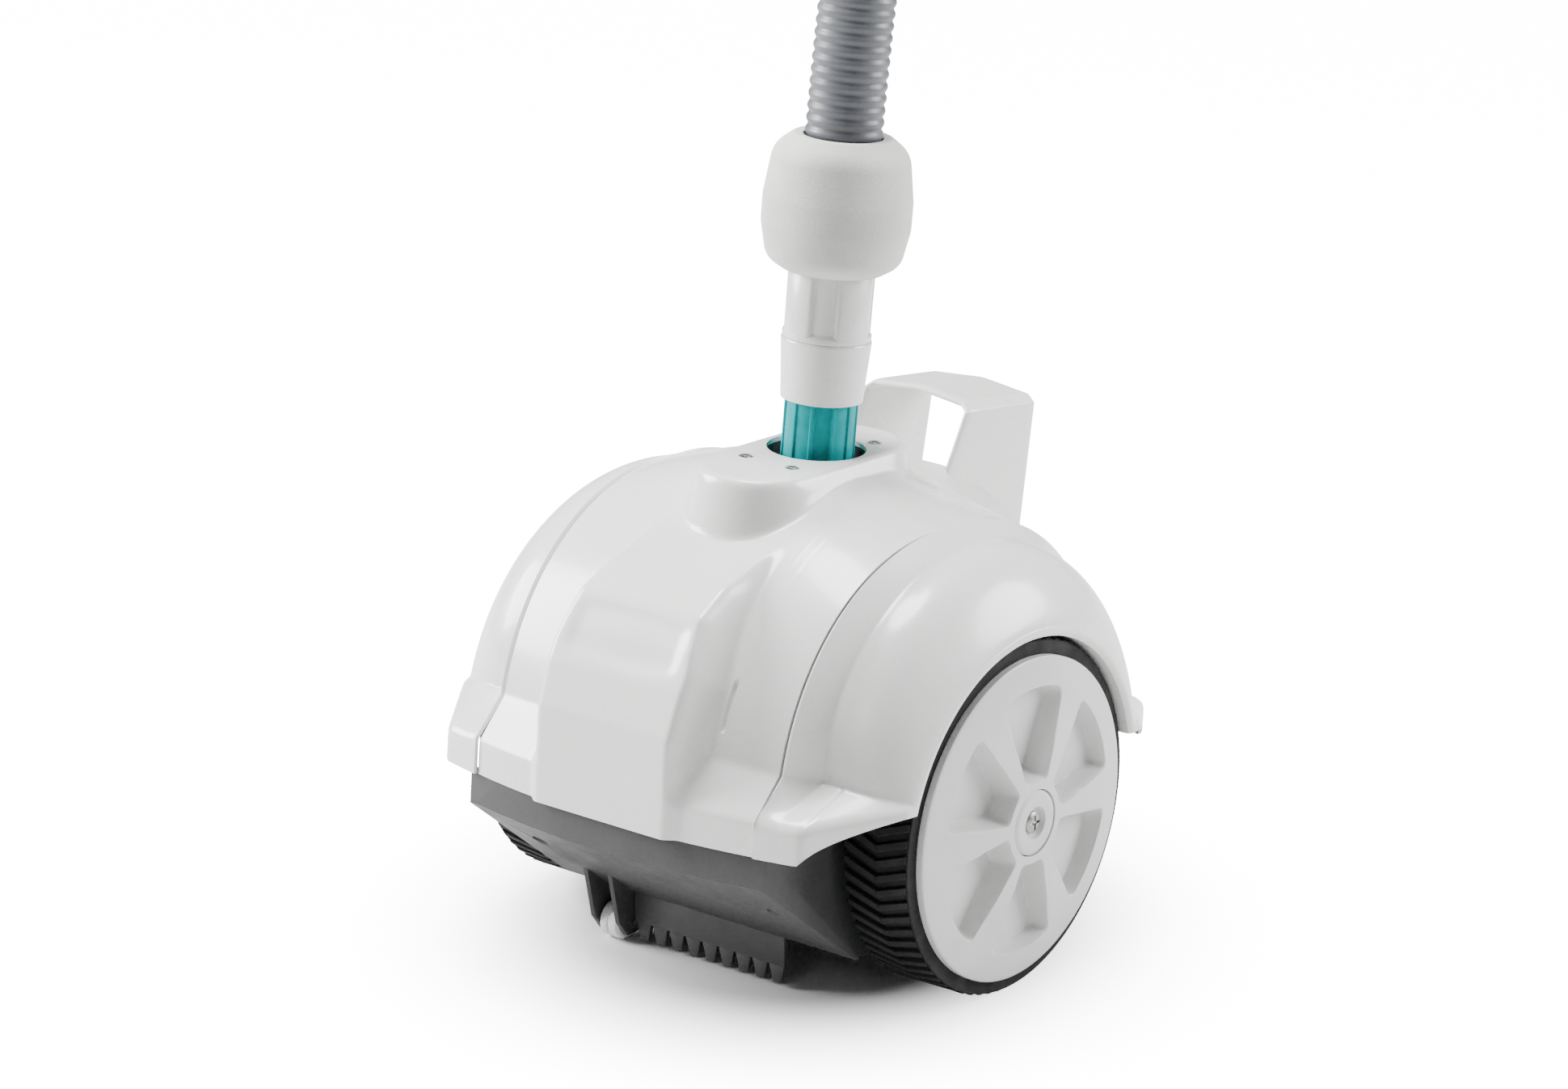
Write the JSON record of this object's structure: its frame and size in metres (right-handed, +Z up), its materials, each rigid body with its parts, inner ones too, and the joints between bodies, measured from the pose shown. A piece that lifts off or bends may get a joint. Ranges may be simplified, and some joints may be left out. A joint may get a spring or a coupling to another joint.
{
  "type": "pool cleaner",
  "caption": "Suction pool cleaner: domed white body on spoked side wheels with ribbed tyres, grey base, carry handle, teal swivel collar, float and corrugated hose.",
  "frame": {"origin": "on the pool floor, under the middle of the drive axle", "axes": "+X to the right along the drive axle, -Y to the front, +Z up"},
  "size_m": [0.3168, 0.3486, 0.6759],
  "materials": {
    "white_shell": "gloss",
    "wheel_plastic": "satin",
    "grey_base": "satin",
    "tyre_black": "matte",
    "seal_rubber": "matte",
    "steel": "satin",
    "inner_plastic": "satin",
    "bearing_nylon": "satin",
    "teal_plastic": "gloss",
    "float_foam": "matte",
    "hose_grey": "satin",
    "hose_cuff_grey": "satin"
  },
  "bodies": {
    "chassis": {"centre_hood": "white_shell", "fender_right": "white_shell", "fender_left": "white_shell", "base_tub": "grey_base", "carry_handle": "white_shell", "outlet_socket": "grey_base", "outlet_seal": "seal_rubber", "retaining_ring": "grey_base", "platform_screws": "steel", "case_screws": "steel", "turbine_housing": "inner_plastic", "housing_cover": "inner_plastic", "turbine_bearing_left": "bearing_nylon", "turbine_bearing_right": "bearing_nylon", "idler_pin": "steel", "axle_bush_right": "bearing_nylon", "axle_bush_left": "bearing_nylon", "front_roller_pin": "steel", "rear_roller_pin": "steel", "comb_front": "grey_base", "comb_rear": "grey_base"},
    "drive_wheels": {"drive_axle": "steel", "axle_gear": "bearing_nylon", "axle_spacer_right": "bearing_nylon", "axle_spacer_left": "bearing_nylon", "wheel_disc_right": "wheel_plastic", "wheel_disc_left": "wheel_plastic", "hub_sleeve_right": "wheel_plastic", "hub_sleeve_left": "wheel_plastic", "tyre_right": "tyre_black", "tyre_left": "tyre_black", "hub_cap_right": "wheel_plastic", "hub_cap_left": "wheel_plastic", "hub_screw_right": "steel", "hub_screw_left": "steel"},
    "turbine": {"turbine_wheel": "inner_plastic", "turbine_shaft": "steel", "turbine_pinion": "bearing_nylon"},
    "idler": {"idler_gear": "bearing_nylon"},
    "swivel": {"swivel_ring": "grey_base", "tilt_pins": "steel"},
    "hose_column": {"quick_collar": "teal_plastic", "riser_sleeve": "white_shell", "ribbed_coupling": "white_shell", "hose_float": "float_foam", "hose": "hose_grey", "hose_cuff": "hose_cuff_grey"},
    "front_roller": {"front_roller": "white_shell"},
    "rear_roller": {"rear_roller": "white_shell"}
  },
  "joints": [
    {"name": "wheel_spin", "type": "hinge", "parent": "chassis", "child": "drive_wheels", "pos_m": [0, 0, 0.098], "axis": [1, 0, 0], "continuous": true},
    {"name": "turbine_spin", "type": "hinge", "parent": "chassis", "child": "turbine", "pos_m": [0, 0.00584, 0.16475], "axis": [1, 0, 0], "continuous": true},
    {"name": "idler_spin", "type": "hinge", "parent": "chassis", "child": "idler", "pos_m": [0, 0.01886, 0.13996], "axis": [1, 0, 0], "continuous": true},
    {"name": "outlet_swivel", "type": "hinge", "parent": "chassis", "child": "swivel", "pos_m": [0, 0.01325, 0.24942], "axis": [0, 0.0872, 0.9962], "continuous": true},
    {"name": "hose_tilt", "type": "hinge", "parent": "swivel", "child": "hose_column", "pos_m": [0, 0.01325, 0.24942], "axis": [1, 0, 0], "range_deg": [-10, 10]},
    {"name": "front_roller_spin", "type": "hinge", "parent": "chassis", "child": "front_roller", "pos_m": [-0.064, -0.078, 0.01], "axis": [1, 0, 0], "continuous": true},
    {"name": "rear_roller_spin", "type": "hinge", "parent": "chassis", "child": "rear_roller", "pos_m": [0.064, 0.078, 0.01], "axis": [1, 0, 0], "continuous": true}
  ],
  "couplings": [
    {"joint": "turbine_spin", "follows": "wheel_spin", "ratio": 2.5},
    {"joint": "idler_spin", "follows": "wheel_spin", "ratio": -1.875}
  ]
}
